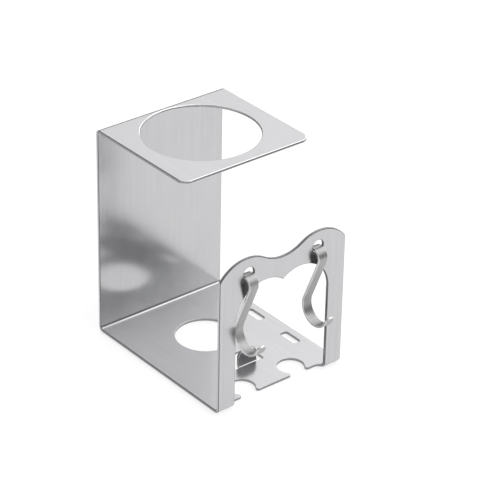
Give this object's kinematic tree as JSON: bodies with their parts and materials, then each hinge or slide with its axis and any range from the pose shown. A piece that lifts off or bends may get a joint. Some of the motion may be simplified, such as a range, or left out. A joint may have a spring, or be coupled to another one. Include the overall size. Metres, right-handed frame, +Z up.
{
  "type": "hair dryer holder",
  "caption": "Bent brushed steel holder with a ring hole in its top shelf over a nozzle hole in its notched bottom shelf, an eared front frame and loose S-hooks.",
  "frame": {"origin": "centre of the back face, which goes against the wall", "axes": "+Z up, +Y into the wall, so -Y points out to the front, and +X to the right as seen from the front"},
  "size_m": [0.1, 0.141, 0.148],
  "materials": {
    "brushed_sheet": "fine brushed stainless, bright rounded edges",
    "hook_strip": "brushed stainless strip with bright edges"
  },
  "bodies": {
    "holder": {"holder_body": "brushed_sheet"},
    "hook_left": {"hook_left": "hook_strip"},
    "hook_right": {"hook_right": "hook_strip"}
  },
  "joints": [
    {"name": "hook_left_swing", "type": "hinge", "parent": "holder", "child": "hook_left", "pos_m": [-0.0276, -0.125, 0.01295], "axis": [-1, 0, 0], "range_deg": [-4, 56]},
    {"name": "hook_right_swing", "type": "hinge", "parent": "holder", "child": "hook_right", "pos_m": [0.0276, -0.125, 0.01295], "axis": [-1, 0, 0], "range_deg": [-4, 56]}
  ]
}
